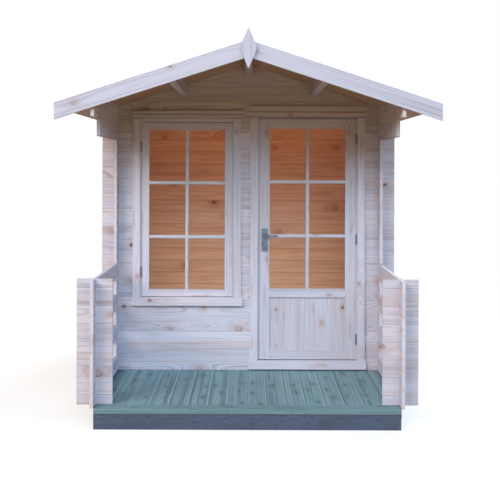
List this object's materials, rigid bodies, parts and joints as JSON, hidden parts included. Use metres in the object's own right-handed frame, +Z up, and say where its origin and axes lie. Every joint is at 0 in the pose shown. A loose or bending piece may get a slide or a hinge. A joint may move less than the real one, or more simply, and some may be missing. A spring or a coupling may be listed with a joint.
{
  "type": "log cabin",
  "caption": "Small garden log cabin of interlocking whitewashed logs, with a gable roof over a front porch with open log rails, a glazed door and a tall window.",
  "frame": {"origin": "on the ground under the middle of the roof", "axes": "+Z up, -Y out of the front with the porch and the door, +X to the right seen from the front"},
  "size_m": [2.442, 3.352, 2.5322],
  "materials": {
    "treated_bearer": "pressure treated, rough",
    "treated_deck": "pressure treated, planed",
    "wall_log": "whitewashed, matt",
    "roof_timber": "whitewashed, matt",
    "roof_felt": "mineral surfaced",
    "trim_board": "whitewashed, matt",
    "joinery": "whitewashed, matt",
    "glass": "clear",
    "hinge_steel": "dark, satin",
    "handle_metal": "satin"
  },
  "bodies": {
    "cabin": {"rim_bearers": "treated_bearer", "floor_joists": "treated_bearer", "wall_bearers": "treated_bearer", "deck_boards": "treated_deck", "deck_nosing": "treated_deck", "left_wall": "wall_log", "right_wall": "wall_log", "front_wall": "wall_log", "back_wall": "wall_log", "front_gable": "wall_log", "back_gable": "wall_log", "left_stub": "wall_log", "right_stub": "wall_log", "ridge_purlin": "roof_timber", "side_purlins": "roof_timber", "left_roof_boards": "roof_timber", "right_roof_boards": "roof_timber", "left_roof_felt": "roof_felt", "right_roof_felt": "roof_felt", "front_left_barge": "trim_board", "front_right_barge": "trim_board", "rear_left_barge": "trim_board", "rear_right_barge": "trim_board", "front_finial": "trim_board", "rear_finial": "trim_board", "window_casing": "trim_board", "door_casing": "trim_board", "window_frame": "joinery", "window_sash": "joinery", "door_frame": "joinery", "window_glass": "glass", "window_hinges": "hinge_steel", "door_hinge_frame_side": "hinge_steel"},
    "door": {"door_leaf": "joinery", "door_panel": "joinery", "door_glass": "glass", "door_hinge_leaf_side": "hinge_steel", "door_handle_plates": "handle_metal"},
    "door_handle": {"door_lever": "handle_metal"}
  },
  "joints": [
    {"name": "door_swing", "type": "hinge", "parent": "cabin", "child": "door", "pos_m": [0.80875, -0.4825, 1.115], "axis": [0, 0, 1], "range_deg": [0, 95]},
    {"name": "lever_turn", "type": "hinge", "parent": "door", "child": "door_handle", "pos_m": [0.1235, -0.457, 1.139], "axis": [0, 1, 0], "range_deg": [0, 40], "stiffness_Nm_per_rad": 0.6, "springref_deg": -28.65}
  ]
}
